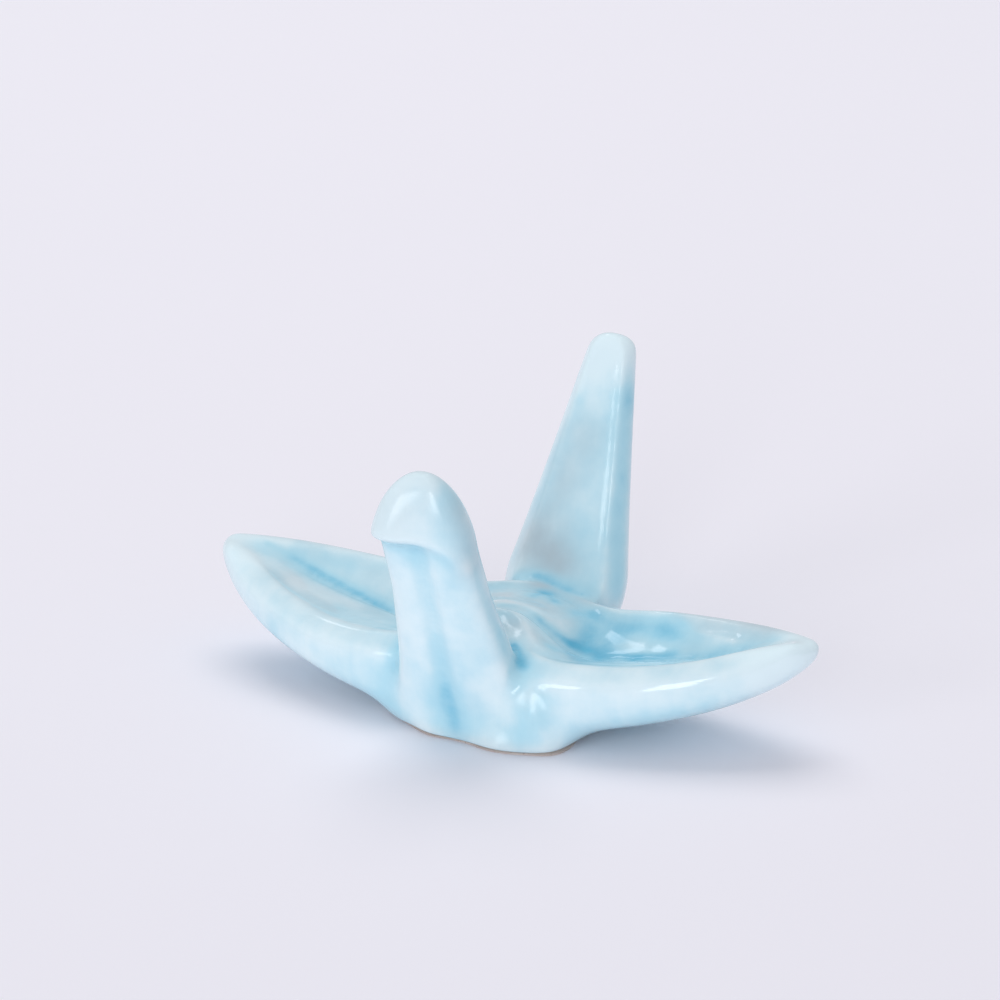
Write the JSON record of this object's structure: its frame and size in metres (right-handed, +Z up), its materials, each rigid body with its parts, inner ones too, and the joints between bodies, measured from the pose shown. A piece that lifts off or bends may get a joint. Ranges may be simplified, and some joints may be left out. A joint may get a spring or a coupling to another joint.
{
  "type": "chopstick rest",
  "caption": "Chopstick rest shaped as a folded paper crane: hollow upswept wings, grooved neck with hooded head, upright tail and flat foot, in pale blue glazed porcelain.",
  "frame": {"origin": "on the table, under the middle of the foot", "axes": "+X towards the right wing tip as seen from the head, +Y towards the tail, +Z up"},
  "size_m": [0.078, 0.0529, 0.0374],
  "materials": {
    "celadon_glaze": "gloss",
    "bare_porcelain": "matte"
  },
  "bodies": {
    "root": {"foot": "bare_porcelain", "body": "celadon_glaze", "wing_left": "celadon_glaze", "wing_right": "celadon_glaze", "neck": "celadon_glaze", "head": "celadon_glaze", "tail": "celadon_glaze"}
  },
  "joints": []
}
